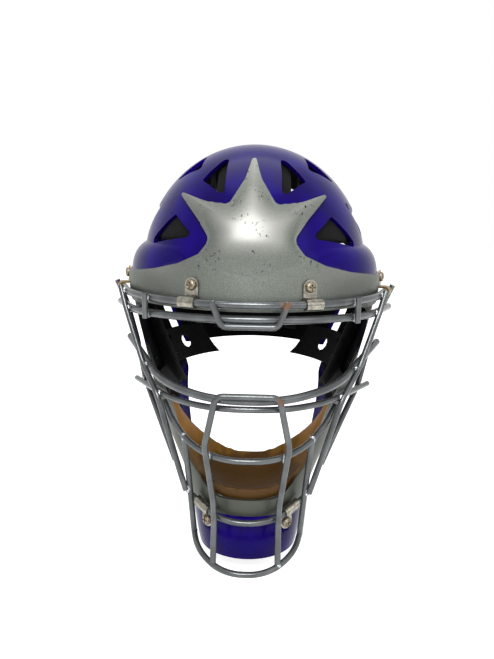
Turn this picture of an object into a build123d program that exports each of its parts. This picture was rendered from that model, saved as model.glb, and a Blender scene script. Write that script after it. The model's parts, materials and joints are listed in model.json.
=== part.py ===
from build123d import *

import math
import os

os.makedirs("parts", exist_ok=True)

# Hockey-style baseball catcher helmet. Millimetres, +Z up, the face looks along -Y.
# The origin is the centre of the wearer's head at eye height.

# Shell: moulded ABS, one piece from the crown down both jaw rails to the chin
WALL = 3.5
DOME_HALF_WIDTH = 102.0
DOME_HALF_DEPTH = 121.0
DOME_HEIGHT = 111.0
DOME_MIDDLE_Y = 3.0
DOME_MIDDLE_Z = 60.0
BAND_HALF_WIDTH = 114.0
BAND_DEPTH = 125.0
BAND_TOP_Z = 84.0
BAND_INSET = 0.6
CHIN_DROP = 174.0
FAR = 400.0
HALF_TURN = 180
# Levels of the shell below the dome: height as a share of the chin drop, half width as a share of the
# band's, then the middle, the front reach and the back reach as shares of the band's depth
LEVEL_SHARES = [
    (0.391, 0.985, 0.048, 0.985, 0.955),
    (0.259, 0.996, 0.040, 1.000, 0.960),
    (0.115, 0.956, 0.012, 0.980, 0.975),
    (-0.029, 0.888, -0.062, 0.900, 1.020),
    (-0.259, 0.772, -0.224, 0.736, 1.040),
    (-0.517, 0.588, -0.416, 0.544, 0.720),
    (-0.747, 0.439, -0.544, 0.408, 0.480),
    (-0.920, 0.395, -0.560, 0.372, 0.440),
    (-1.000, 0.368, -0.568, 0.346, 0.410),
]

# Face opening, seen from the front: its outline from the upper corner to the chin, as shares of its half
# width and of the depth of its lowest edge
PORT_TOP_Z = 35.0
PORT_HALF_WIDTH = 103.0
PORT_DEPTH = 120.0
PORT_SHARES = [(0.985, 0.0), (0.64, 0.40), (0.475, 0.80), (0.27, 1.0)]
PORT_CORNER_RADIUS = 16.0
PORT_RADII = [30.0, 60.0, 20.0, 20.0]

# Back edge of the front shell, seen from the side, as shares of the dome's half depth and the chin drop
BACK_EDGE_SHARES = [
    (0.66, 1.10), (0.66, 0.82), (0.50, 0.56), (0.42, 0.10), (0.41, -0.26), (-0.16, -0.54), (-0.60, -0.80),
    (-0.74, -1.10),
]
BACK_EDGE_RADIUS = 20.0

# Vents through the dome: corners as angles seen from the dome's middle, from the front and upwards
VENT_CORNERS = {
    "upper": [(14.2, 33.8), (21.0, 56.5), (28.5, 42.3)],
    "temple": [(39.0, 24.0), (26.7, 15.7), (55.3, 12.7)],
    "side": [(61.7, 33.0), (75.6, 18.5), (97.0, 28.0)],
    "crown": [(42.0, 51.0), (63.0, 46.0), (58.0, 62.0)],
}
VENT_CORNER_RADIUS = 3.0
VENT_GROW_SHARE = 1.22
VENT_REACH = 16.0

# Raised star that grows out of the brow band: outline seen from the front, as shares of the dome's half
# width and of the height of the star's tip
STAR_RAISE = 2.5
STAR_ROOT = 1.0
STAR_TIP_Z = 160.0
STAR_SHARES = [
    (0.0, 0.996), (0.061, 0.858), (0.182, 0.727), (0.364, 0.740), (0.606, 0.794), (0.423, 0.656), (0.320, 0.558),
    (0.408, 0.486), (0.575, 0.436), (0.787, 0.400), (1.10, 0.363),
]
STAR_RADII = [2.0, 20.0, 6.0, 30.0, 1.5, 40.0, 7.0, 12.0, 40.0, 60.0, 60.0]
STAR_EDGE_RADIUS = 4.0

# Crests along the star's arms, from its hub to its tips, as the same shares
CREST_HALF_WIDTH = 19.0
CREST_RISE = 2.6
CREST_SINK = 1.2
CREST_RUN_SHARES = [0.0, 0.5, 1.06]
STAR_HUB_SHARE = (0.0, 0.58)
STAR_TIP_SHARE = (0.0, 0.996)
STAR_SIDE_TIP_SHARE = (0.606, 0.794)

# Face cage: welded steel rod, thick for the brow and eye bars and thin elsewhere
THICK_ROD = 6.4
THIN_ROD = 5.0
CAGE_HALF_WIDTH = 130.0
CAGE_REACH = 150.0
CAGE_DROP = 173.0
# Rod routes for one side, from the temple to the middle, as shares of the half width, reach and drop,
# and the radii of their bends
BROW_ROD_SHARES = [(0.962, 0.0, 0.238), (0.760, -0.578, 0.238), (0.255, -0.853, 0.238)]
BROW_ROD_RADII = [128.0, 98.0]
SIGHT_ROD_SHARES = [(0.983, 0.040, 0.141), (0.714, -0.590, 0.162), (0.250, -0.845, 0.172)]
SIGHT_ROD_RADII = [120.0, 98.0]
EYE_ROD_SHARES = [(0.896, -0.045, -0.044), (0.537, -0.738, -0.146), (0.204, -0.938, -0.176)]
EYE_ROD_RADII = [95.0, 73.0]
UNDER_EYE_ROD_SHARES = [(0.816, -0.195, -0.246), (0.488, -0.733, -0.223), (0.197, -0.938, -0.214)]
UNDER_EYE_ROD_RADII = [112.0, 61.0]
MOUTH_ROD_SHARES = [
    (0.554, -0.580, -0.272), (0.500, -0.640, -0.335), (0.369, -0.793, -0.416), (0.169, -0.950, -0.449),
]
MOUTH_ROD_RADII = [44.0, 80.0, 47.0]
CHIN_ROD_SHARES = [(0.358, -0.670, -0.720), (0.154, -0.830, -0.792)]
CHIN_ROD_RADII = [44.0]
HOOP_ROD_SHARES = [(0.345, -0.660, -0.908), (0.308, -0.787, -0.951), (0.138, -0.935, -1.0)]
HOOP_ROD_RADII = [51.0, 37.0]
NOSE_ROD_SHARES = [
    (0.200, -0.875, -0.973), (0.199, -0.832, -0.775), (0.2015, -0.857, -0.682), (0.250, -0.950, -0.382),
    (0.185, -0.972, -0.149),
]
NOSE_ROD_RADII = [28.0, 130.0, 26.0, 7.0]
VISOR_ROD_SHARES = [(0.223, -0.866, 0.252), (0.166, -0.860, 0.142)]
VISOR_ROD_RADII = [6.0]
FRONT_WELD_SHARES = [0.133, 0.165, 0.185, 0.215]
FRONT_STRUT_SHARES = [(0.425, -0.720, -0.595), (0.392, -0.717, -0.676)]
FRONT_STRUT_RADII = [60.0, 45.0, 25.0, 40.0]
REAR_STRUT_TOP_SHARE = (0.9855, 0.0, 0.238)
REAR_WELD_SHARES = [0.014, 0.020, 0.040]
REAR_STRUT_SHARES = [(0.577, -0.547, -0.393), (0.466, -0.680, -0.537)]
REAR_STRUT_RADII = [30.0, 30.0, 30.0, 60.0]
CHIN_STRUT_SHARES = [(0.369, -0.705, -0.650), (0.345, -0.660, -0.908)]
CHIN_STRUT_RADII = [100.0]
CHIN_STRUT_PLACE_SHARE = 0.195
LINK_PLACE_SHARES = [0.264, 0.268]
STRUT_OVERHANG = 4.5
LINK_OVERHANG = 4.0
WELD_SINK = 0.8

# Clips that hold the cage to the shell, with their screws and the nuts inside
CLIP_WIDTH = 12.0
CLIP_WRAP_WIDTH = 14.5
CLIP_SHEET = 1.5
CLIP_FIT = 0.05
CLIP_BEND = 1.6
CLIP_LIP = 2.0
CLIP_RISE = 13.0
BROW_CLIP_PLACE_SHARE = 0.372
BROW_CLIP_SEAT = 5.9
TEMPLE_CLIP_PLACE_SHARE = 0.036
TEMPLE_CLIP_SEAT = 5.95
CHIN_CLIP_PLACE_SHARE = 0.138
CHIN_CLIP_SEAT = 4.7
SCREW_HOLE = 4.6
SCREW_SHANK = 4.2
SCREW_HEAD = 8.6
SCREW_HEAD_RISE = 2.8
SCREW_LENGTH = 11.0
DRIVE_LENGTH_SHARE = 0.62
DRIVE_WIDTH_SHARE = 0.14
DRIVE_DEPTH_SHARE = 0.4
HEAD_ROUND_SHARE = 0.75
NUT_FLANGE = 13.0
NUT_SHEET = 1.4
NUT_ACROSS = 8.0
NUT_SIDES = 6
NUT_HEIGHT = 4.2
NUT_BORE = 4.26
NUT_ROOM = 16.0
NUT_REACH = 44.0
SEAT_GAP = 0.1

# Padding behind the shell, round the room for the wearer's head
PAD_GAP = 0.4
SEAM = 2.0
HEAD_HALF_WIDTH = 84.0
HEAD_HALF_DEPTH = 104.0
HEAD_HEIGHT = 108.0
HEAD_MIDDLE_Z = 42.0
PAD_LOW_Z = 38.0
PAD_SPLIT_Z = 82.0
SIDE_PAD_FRONT_Y = -42.0
PAD_BACK_Y = 22.0
PAD_EDGE_GAP = 5.0
CROWN_PAD_HALF_WIDTH = 34.0
JAW_PAD = 10.0
JAW_PAD_TOP_Z = 24.0
JAW_PAD_LOW_Z = -56.0
JAW_PAD_MARGIN = 4.0

# Leather chin cup: a bowl, then its outline from the side as shares of the cage's reach and the chin drop
CUP_HALF_WIDTH = 62.0
CUP_HALF_DEPTH = 62.0
CUP_DEPTH = 60.0
CUP_MIDDLE_Y = -84.0
CUP_MIDDLE_Z = -60.0
CUP_PAD = 10.0
CUP_SIDE_SHARES = [(-0.27, -0.30), (-0.28, -0.80), (-0.95, -0.82), (-0.95, -0.62), (-0.66, -0.50), (-0.46, -0.30)]
CUP_EDGE_RADIUS = 6.0

# Back plate with its pad, carried by elastic straps
PLATE_GAP = 16.0
PLATE_LOW_Z = -26.0
PLATE_TOP_Z = 112.0
PLATE_CORNER = 18.0
BACK_PAD = 9.0
BACK_PAD_HALF_WIDTH = 46.0
BACK_PAD_MARGIN = 7.0
STRAP_SHEET = 1.8
STRAP_WIDTH = 32.0
STRAP_HEIGHTS = [-24.0, 62.0]
STRAP_WINDOW = 12.0
STRAP_WINDOW_Y = 60.0
STRAP_FRONT_Y = 26.0
STRAP_BACK_Y = 88.0
STUD_Y = 36.0
STUD_SHANK = 4.0
STUD_HOLE = 4.3
STUD_CAP = 10.0
STUD_CAP_RISE = 2.2
STUD_SPLIT_SHARE = 0.28


def mirrored(shape):
    """The same shape on the other side of the middle plane."""
    return mirror(shape, about=Plane.YZ)


def both_sides(points):
    """A row of places from one side to the middle, then on to the other side."""
    return points + [(-x, *rest) for x, *rest in reversed(points)]


def largest(shape):
    """The largest solid of a shape."""
    return max(shape.solids(), key=lambda solid: solid.volume)


def half_ellipse(reach_x, reach_y, middle_y, height, front):
    """Half an ellipse across the head at one height, its front or its back half."""
    start = HALF_TURN if front else 0
    return EllipticalCenterArc((0, middle_y, height), reach_x, reach_y, start_angle=start, arc_size=HALF_TURN)


def level_face(height, reach_x, middle_y, front, back):
    """The closed outline of the shell at one height."""
    arcs = [half_ellipse(reach_x, front, middle_y, height, True), half_ellipse(reach_x, back, middle_y, height, False)]
    return make_face(Wire(arcs))


def shell_solid(inset):
    """The space inside the shell's outer surface, drawn in by an inset, or grown where it is below zero."""
    dome = scale(Sphere(1), by=(DOME_HALF_WIDTH - inset, DOME_HALF_DEPTH - inset, DOME_HEIGHT - inset))
    dome = Pos(0, DOME_MIDDLE_Y, DOME_MIDDLE_Z) * dome
    rise_share = (BAND_TOP_Z - DOME_MIDDLE_Z) / DOME_HEIGHT
    dome_share = math.sqrt(1 - rise_share**2)
    reach = DOME_HALF_DEPTH * dome_share - inset - BAND_INSET
    faces = [level_face(BAND_TOP_Z, DOME_HALF_WIDTH * dome_share - inset - BAND_INSET, DOME_MIDDLE_Y, reach, reach)]
    for height, width, middle, front, back in LEVEL_SHARES:
        faces.append(
            level_face(
                height * CHIN_DROP,
                width * BAND_HALF_WIDTH - inset,
                middle * BAND_DEPTH,
                front * BAND_DEPTH - inset,
                back * BAND_DEPTH - inset,
            )
        )
    return dome + loft(faces)


def front_prism(points, radii, back_y):
    """A prism along the view from the front, from far ahead back to one depth."""
    outline = FilletPolyline(*[(x, 0, z) for x, z in points], radius=radii, close=True)
    return Pos(0, back_y, 0) * extrude(make_face(outline), amount=FAR, dir=(0, -1, 0))


def side_prism(points, radius):
    """A prism right across the head, drawn as seen from the side."""
    outline = FilletPolyline(*[(0, y, z) for y, z in points], radius=radius, close=True)
    return extrude(make_face(outline), amount=FAR, dir=(1, 0, 0), both=True)


def region(low, high):
    """A block between two corners."""
    size = [b - a for a, b in zip(low, high)]
    middle = [(a + b) / 2 for a, b in zip(low, high)]
    return Pos(*middle) * Box(*size)


def port_space(margin):
    """The face opening, grown by a margin all round."""
    side = [(PORT_HALF_WIDTH + margin, PORT_TOP_Z + margin)]
    side += [(x * PORT_HALF_WIDTH + margin, -z * PORT_DEPTH - margin) for x, z in PORT_SHARES]
    radii = [PORT_CORNER_RADIUS] + PORT_RADII
    return front_prism(both_sides(side), radii + radii[::-1], 0)


def back_space(shift):
    """Everything behind the back edge of the front shell, moved back by a shift."""
    edge = [(y * DOME_HALF_DEPTH + shift, z * CHIN_DROP) for y, z in BACK_EDGE_SHARES]
    far = [(FAR, edge[-1][1]), (FAR, edge[0][1])]
    return side_prism(edge + far, BACK_EDGE_RADIUS)


def dome_point(azimuth, height):
    """The place on the dome seen from its middle at two angles."""
    turn, lift = math.radians(azimuth), math.radians(height)
    way = Vector(math.sin(turn) * math.cos(lift), -math.cos(turn) * math.cos(lift), math.sin(lift))
    reach = Vector(way.X / DOME_HALF_WIDTH, way.Y / DOME_HALF_DEPTH, way.Z / DOME_HEIGHT)
    return Vector(0, DOME_MIDDLE_Y, DOME_MIDDLE_Z) + way / reach.length


def vent(corners):
    """The prism of one rounded triangular vent."""
    places = [dome_point(*corner) for corner in corners]
    middle = (places[0] + places[1] + places[2]) / len(places)
    a, b, c = [middle + (place - middle) * VENT_GROW_SHARE for place in places]
    plane = Plane(origin=a, x_dir=b - a, z_dir=(b - a).cross(c - a))
    local = [plane.to_local_coords(point) for point in (a, b, c)]
    outline = FilletPolyline(*local, radius=VENT_CORNER_RADIUS, close=True)
    return extrude(plane * make_face(outline), amount=VENT_REACH, both=True)


def star_space():
    """The star and the brow band below it, seen from the front."""
    side = [(x * DOME_HALF_WIDTH, z * STAR_TIP_Z) for x, z in STAR_SHARES]
    low = PORT_TOP_Z - STAR_RAISE
    side += [(FAR, side[-1][1]), (FAR, low)]
    radii = STAR_RADII + [STAR_EDGE_RADIUS, STAR_EDGE_RADIUS]
    return front_prism(side[::-1] + [(-x, z) for x, z in side[1:]], radii[::-1] + radii[1:], 0)


def star_point(x, z, rise):
    """The place on the front of the dome, grown by a rise, at one place of the front view."""
    across, up = x / (DOME_HALF_WIDTH + rise), (z - DOME_MIDDLE_Z) / (DOME_HEIGHT + rise)
    depth = (DOME_HALF_DEPTH + rise) * math.sqrt(1 - across**2 - up**2)
    return Vector(x, DOME_MIDDLE_Y - depth, z)


def crest(tip):
    """The low ridge along one arm of the star, from the hub to past its tip."""
    places = []
    for run in CREST_RUN_SHARES:
        x, z = [hub + (end - hub) * run for hub, end in zip(STAR_HUB_SHARE, tip)]
        places.append(star_point(x * DOME_HALF_WIDTH, z * STAR_TIP_Z, STAR_RAISE - CREST_SINK))
    path = ThreePointArc(*places)
    run = path % 0
    away = path @ 0 - Vector(0, DOME_MIDDLE_Y, DOME_MIDDLE_Z)
    side = away.cross(run)
    top = CREST_RISE + CREST_SINK
    section = make_face(Polyline((-CREST_HALF_WIDTH, 0), (CREST_HALF_WIDTH, 0), (0, top), close=True))
    return sweep(Plane(origin=path @ 0, x_dir=side, z_dir=run) * section, path=path)


def raised_star():
    """The star with its crests, and the brow band, standing proud of the dome."""
    star = star_space()
    side_crest = crest(STAR_SIDE_TIP_SHARE) & star
    plain = (shell_solid(-STAR_RAISE) - shell_solid(STAR_ROOT)) & star
    return plain + (crest(STAR_TIP_SHARE) & star) + side_crest + mirrored(side_crest)


def head_space():
    """The room for the wearer's head inside the pads."""
    crown = scale(Sphere(1), by=(HEAD_HALF_WIDTH, HEAD_HALF_DEPTH, HEAD_HEIGHT))
    neck = extrude(Ellipse(HEAD_HALF_WIDTH, HEAD_HALF_DEPTH), amount=-FAR)
    return Pos(0, DOME_MIDDLE_Y, HEAD_MIDDLE_Z) * (crown + neck)


def cage_place(place_share):
    """A place on the cage from its shares of the cage's size."""
    x, y, z = place_share
    return Vector(x * CAGE_HALF_WIDTH, y * CAGE_REACH, z * CAGE_DROP)


def across_path(shares, radii):
    """The centre line of a rod that runs round the face from one side to the other."""
    side = [tuple(cage_place(share)) for share in shares]
    return FilletPolyline(*both_sides(side), radius=radii + radii[::-1])


def rod(path, size):
    """A round steel rod along a centre line."""
    return sweep(Plane(origin=path @ 0, z_dir=path % 0) * Circle(size / 2), path=path)


def outward(path, share):
    """The level direction away from the face, square to a rod at one place."""
    return Vector(0, 0, 1).cross(path % share).normalized()


def weld_point(path, share, size, own):
    """The centre of a rod welded on the outside of another at one place."""
    return path @ share + outward(path, share) * ((size + own) / 2 - WELD_SINK)


def inner_weld_point(path, share, size, own):
    """The centre of a rod welded on the inside of another at one place."""
    return path @ share - outward(path, share) * ((size + own) / 2 - WELD_SINK)


def strut_path(welds, shares, radii):
    """The centre line of an upright that lies on the cross rods and then runs on by itself."""
    points = welds + [cage_place(share) for share in shares]
    points[0] = points[0] + (points[0] - points[1]).normalized() * STRUT_OVERHANG
    return FilletPolyline(*points, radius=radii)


def link_path(brow, sight):
    """The centre line of a short bar welded in front of the brow and sight rods."""
    top = weld_point(brow, LINK_PLACE_SHARES[0], THICK_ROD, THIN_ROD)
    foot = weld_point(sight, LINK_PLACE_SHARES[1], THICK_ROD, THIN_ROD)
    way = (top - foot).normalized() * LINK_OVERHANG
    return Line((top + way), (foot - way))


def cage_paths():
    """The centre line and size of every rod of the cage, in the order of welding."""
    brow = across_path(BROW_ROD_SHARES, BROW_ROD_RADII)
    sight = across_path(SIGHT_ROD_SHARES, SIGHT_ROD_RADII)
    eye = across_path(EYE_ROD_SHARES, EYE_ROD_RADII)
    under_eye = across_path(UNDER_EYE_ROD_SHARES, UNDER_EYE_ROD_RADII)
    mouth = across_path(MOUTH_ROD_SHARES, MOUTH_ROD_RADII)
    chin = across_path(CHIN_ROD_SHARES, CHIN_ROD_RADII)
    hoop = across_path(HOOP_ROD_SHARES, HOOP_ROD_RADII)
    front_rods = [(brow, THICK_ROD), (sight, THICK_ROD), (eye, THICK_ROD), (under_eye, THIN_ROD)]
    front_welds = [
        weld_point(path, share, size, THIN_ROD) for (path, size), share in zip(front_rods, FRONT_WELD_SHARES)
    ]
    rear_welds = [cage_place(REAR_STRUT_TOP_SHARE)]
    rear_welds += [
        inner_weld_point(path, share, size, THIN_ROD) for (path, size), share in zip(front_rods[1:], REAR_WELD_SHARES)
    ]
    chin_top = mouth @ CHIN_STRUT_PLACE_SHARE
    chin_low = [cage_place(share) for share in CHIN_STRUT_SHARES]
    return {
        "brow_rod": (brow, THICK_ROD),
        "sight_rod": (sight, THICK_ROD),
        "eye_rod": (eye, THICK_ROD),
        "under_eye_rod": (under_eye, THIN_ROD),
        "mouth_rod": (mouth, THIN_ROD),
        "hoop_rod": (hoop, THIN_ROD),
        "chin_rod": (chin, THIN_ROD),
        "nose_rod": (across_path(NOSE_ROD_SHARES, NOSE_ROD_RADII), THIN_ROD),
        "visor_rod": (across_path(VISOR_ROD_SHARES, VISOR_ROD_RADII), THIN_ROD),
        "link_left": (link_path(brow, sight), THIN_ROD),
        "front_strut_left": (strut_path(front_welds, FRONT_STRUT_SHARES, FRONT_STRUT_RADII), THIN_ROD),
        "rear_strut_left": (strut_path(rear_welds, REAR_STRUT_SHARES, REAR_STRUT_RADII), THIN_ROD),
        "chin_strut_left": (FilletPolyline(chin_top, *chin_low, radius=CHIN_STRUT_RADII), THIN_ROD),
    }


def cage_rods(paths):
    """Every rod of the cage, each one cut to fit the rods that it is welded to."""
    rods = {}
    for name, (path, size) in paths.items():
        blank = rod(path, size)
        if name.endswith("_left"):
            rods[name] = largest(blank - list(rods.values()))
            other = name.replace("_left", "_right")
            rods[other] = mirrored(rods[name])
        else:
            rods[name] = largest(blank - list(rods.values())) if rods else blank
    return rods


def clip_frame(path, share, rise):
    """The rod's centre at a clip, its run and outward directions, and the centre of the screw."""
    centre = path @ share
    return centre, path % share, outward(path, share), centre + Vector(0, 0, rise)


def clip(path, share, rise, seat, size):
    """A bent sheet clip that cradles a rod and reaches along the shell to its screw."""
    centre, along, out, hole = clip_frame(path, share, rise)
    up = math.copysign(1, rise)
    reach = (size + CLIP_SHEET) / 2 + CLIP_FIT
    line = [(-seat, up * (abs(rise) + CLIP_WIDTH)), (-seat, up * reach), (reach, up * reach), (reach, -up * reach)]
    line += [(-CLIP_LIP, -up * reach)]
    radii = [CLIP_BEND, reach - CLIP_FIT, reach - CLIP_FIT]
    profile = trace(FilletPolyline(*line, radius=radii), line_width=CLIP_SHEET)
    bent = extrude(Plane(origin=centre, x_dir=out, z_dir=along) * profile, amount=CLIP_WIDTH, both=True)
    run = 2 * abs(rise)
    outline = Pos(run / 2, 0) * SlotCenterToCenter(run, CLIP_WIDTH)
    outline += Pos(abs(rise) + (run - reach) / 2, 0) * Rectangle(run + reach, CLIP_WRAP_WIDTH)
    cut = extrude(Plane(origin=hole, x_dir=centre - hole, z_dir=out) * outline, amount=CLIP_WIDTH, both=True)
    bore = Plane(origin=hole, z_dir=out) * Cylinder(SCREW_HOLE / 2, 2 * CLIP_WIDTH)
    return (bent & cut) - bore


def screw(path, share, rise, seat):
    """The round-headed screw of one clip."""
    _, _, out, hole = clip_frame(path, share, rise)
    face = Plane(origin=hole + out * (CLIP_SHEET / 2 + SEAT_GAP - seat), z_dir=out)
    head = extrude(Circle(SCREW_HEAD / 2), amount=SCREW_HEAD_RISE)
    head = fillet(head.edges().group_by(Axis.Z)[-1], SCREW_HEAD_RISE * HEAD_ROUND_SHARE)
    drive = [SCREW_HEAD * DRIVE_LENGTH_SHARE, SCREW_HEAD * DRIVE_WIDTH_SHARE, 2 * SCREW_HEAD_RISE * DRIVE_DEPTH_SHARE]
    slot = Pos(0, 0, SCREW_HEAD_RISE) * Box(*drive)
    head = head - slot - Rot(0, 0, HALF_TURN / 2) * slot
    shank = extrude(Circle(SCREW_SHANK / 2), amount=-SCREW_LENGTH)
    return face * (head + shank)


def nut(path, share, rise, seat, wall):
    """The flanged nut of one clip, inside the shell."""
    _, _, out, hole = clip_frame(path, share, rise)
    face = Plane(origin=hole - out * (CLIP_SHEET / 2 + seat + wall), z_dir=-out)
    flange = extrude(Circle(NUT_FLANGE / 2), amount=2 * NUT_SHEET)
    barrel = extrude(RegularPolygon(NUT_ACROSS / 2, NUT_SIDES), amount=NUT_HEIGHT)
    bore = Cylinder(NUT_BORE / 2, FAR / 2)
    return face * (flange + barrel - bore)


def hole_through(path, share, rise, size):
    """The straight hole of one clip's screw, or the wider room round its nut."""
    _, _, out, hole = clip_frame(path, share, rise)
    return Plane(origin=hole, z_dir=out) * Cylinder(size / 2, NUT_REACH)


def both(shape):
    """A shape and its twin on the other side."""
    return [shape, mirrored(shape)]


def chin_cup():
    """The leather chin cup: a bowl between the jaw rails, cut off along its rear edge."""
    bowl = Pos(0, CUP_MIDDLE_Y, CUP_MIDDLE_Z) * scale(Sphere(1), by=(CUP_HALF_WIDTH, CUP_HALF_DEPTH, CUP_DEPTH))
    outer = scale(Sphere(1), by=(CUP_HALF_WIDTH + CUP_PAD, CUP_HALF_DEPTH + CUP_PAD, CUP_DEPTH + CUP_PAD))
    outer = Pos(0, CUP_MIDDLE_Y, CUP_MIDDLE_Z) * outer
    keep = side_prism([(y * CAGE_REACH, z * CHIN_DROP) for y, z in CUP_SIDE_SHARES], CUP_EDGE_RADIUS)
    return largest(((outer - bowl) & keep) & shell_solid(WALL + PAD_GAP))


def strap(skin, height):
    """One elastic strap along the inside of the shell, bridging the gap to the back plate."""
    width = STRAP_WIDTH / 2
    return largest(skin & region((0, STRAP_FRONT_Y, height - width), (FAR, STRAP_BACK_Y, height + width)))


def stud_places():
    """The two studs at the front end of each strap."""
    step = STRAP_WIDTH * STUD_SPLIT_SHARE
    return [(STUD_Y, height + shift) for height in STRAP_HEIGHTS for shift in (-step, step)]


def stud_holes(size):
    """Straight holes across the shell for the studs on one side."""
    return [Pos(0, y, z) * Rot(0, HALF_TURN / 2, 0) * extrude(Circle(size / 2), amount=FAR) for y, z in stud_places()]


def export(name, shape):
    """Writes one node's solids."""
    solids = shape if isinstance(shape, list) else [shape]
    solids = [solid for item in solids for solid in item.solids()]
    export_step(solids[0] if len(solids) == 1 else Compound(children=solids), f"parts/{name}.step")
    print(name, len(solids), round(sum(solid.volume for solid in solids)), all(solid.is_valid for solid in solids))


paths = cage_paths()
brow_path, chin_path = paths["brow_rod"][0], paths["chin_rod"][0]
CLIPS = {
    "brow": (brow_path, BROW_CLIP_PLACE_SHARE, CLIP_RISE, BROW_CLIP_SEAT, THICK_ROD, WALL + STAR_RAISE),
    "temple": (brow_path, TEMPLE_CLIP_PLACE_SHARE, CLIP_RISE, TEMPLE_CLIP_SEAT, THICK_ROD, WALL + STAR_RAISE),
    "chin": (chin_path, CHIN_CLIP_PLACE_SHARE, -CLIP_RISE, CHIN_CLIP_SEAT, THIN_ROD, WALL),
}

outer = shell_solid(0)
inner = shell_solid(WALL)
pad_outer = shell_solid(WALL + PAD_GAP)
strap_inner = shell_solid(WALL + PAD_GAP + STRAP_SHEET)
skin = outer - inner

# Front shell
front = skin - port_space(0) - back_space(0)
front = front - [shape for corners in VENT_CORNERS.values() for shape in both(vent(corners))]
raised = raised_star()
front = front + (raised - port_space(0))
for path, share, rise, seat, size, wall in CLIPS.values():
    front = front - both(hole_through(path, share, rise, SCREW_HOLE))
front = front - [shape for hole in stud_holes(STUD_HOLE) for shape in both(hole)]
shell_front = largest(front)
export("shell_front", shell_front)

# Cage
rods = cage_rods(paths)
for name, shape in rods.items():
    export(name, shape)

# Clips, screws and nuts
for name, (path, share, rise, seat, size, wall) in CLIPS.items():
    left = largest(clip(path, share, rise, seat, size) - outer - raised)
    export(name + "_clip_left", left)
    export(name + "_clip_right", mirrored(left))
    export(name + "_screws", both(screw(path, share, rise, seat)))
    export(name + "_nuts", both(largest(nut(path, share, rise, seat, wall) - skin)))

# Pads round the head
nut_rooms = []
for path, share, rise, seat, size, wall in CLIPS.values():
    nut_rooms += both(hole_through(path, share, rise, NUT_ROOM))
liner = (pad_outer - head_space()) - back_space(-PAD_EDGE_GAP)
brow_pad = liner & region((-FAR, -FAR, PAD_LOW_Z), (FAR, SIDE_PAD_FRONT_Y - SEAM, PAD_SPLIT_Z - SEAM))
export("brow_pad", largest(brow_pad - nut_rooms))
side_region = region((0, SIDE_PAD_FRONT_Y, PAD_LOW_Z), (FAR, PAD_BACK_Y, PAD_SPLIT_Z - SEAM))
side_pad = largest((liner & side_region) - nut_rooms)
export("side_pad_left", side_pad)
export("side_pad_right", mirrored(side_pad))
top = liner & region((-FAR, -FAR, PAD_SPLIT_Z), (FAR, FAR, FAR))
export("crown_pad", largest(top & region((-CROWN_PAD_HALF_WIDTH, -FAR, 0), (CROWN_PAD_HALF_WIDTH, FAR, FAR))))
top_pad = largest(top & region((CROWN_PAD_HALF_WIDTH + SEAM, -FAR, 0), (FAR, FAR, FAR)))
export("top_pad_left", top_pad)
export("top_pad_right", mirrored(top_pad))
jaw_skin = pad_outer - shell_solid(WALL + PAD_GAP + JAW_PAD) - port_space(JAW_PAD_MARGIN) - back_space(-PAD_EDGE_GAP)
jaw_pad = largest(jaw_skin & region((0, -FAR, JAW_PAD_LOW_Z), (FAR, PAD_BACK_Y, JAW_PAD_TOP_Z)))
cup = chin_cup()
jaw_pad = largest(jaw_pad - cup)
export("jaw_pad_left", jaw_pad)
export("jaw_pad_right", mirrored(jaw_pad))
export("chin_cup", largest(cup - nut_rooms))

# Back plate, its pad and the straps
plate = skin & back_space(PLATE_GAP) & region((-FAR, 0, PLATE_LOW_Z), (FAR, FAR, PLATE_TOP_Z))
export("back_plate", largest(plate))
pad_skin = pad_outer - shell_solid(WALL + PAD_GAP + BACK_PAD)
pad_low, pad_high = PLATE_LOW_Z + BACK_PAD_MARGIN, PLATE_TOP_Z - BACK_PAD_MARGIN
back_pad = pad_skin & region((-BACK_PAD_HALF_WIDTH, 0, pad_low), (BACK_PAD_HALF_WIDTH, FAR, pad_high))
export("back_pad", largest(back_pad))
strap_skin = pad_outer - strap_inner
for name, height in zip(["low", "high"], STRAP_HEIGHTS):
    window = Pos(0, STRAP_WINDOW_Y, height) * Rot(0, HALF_TURN / 2, 0) * extrude(Circle(STRAP_WINDOW / 2), amount=FAR)
    band = largest(strap(strap_skin, height) - stud_holes(STUD_HOLE) - window)
    export(name + "_strap_left", band)
    export(name + "_strap_right", mirrored(band))
cap_outer = shell_solid(-STUD_CAP_RISE)
cap_inner = shell_solid(-SEAT_GAP)
stud_set = []
for shank, cap in zip(stud_holes(STUD_SHANK), stud_holes(STUD_CAP)):
    stud_set += both(largest(((shank & cap_outer) - strap_inner) + ((cap & cap_outer) - cap_inner)))
export("strap_studs", stud_set)
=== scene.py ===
"""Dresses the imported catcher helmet: paint, steel, foam, leather, webbing, weld beads, light and camera."""

import json
import logging
import math
import random
from dataclasses import dataclass
from enum import Enum
from typing import Any, Dict, List, Optional, Sequence, Tuple

import bmesh
import bpy
import numpy
from mathutils import Matrix, Vector, noise
from mathutils.bvhtree import BVHTree

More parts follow.
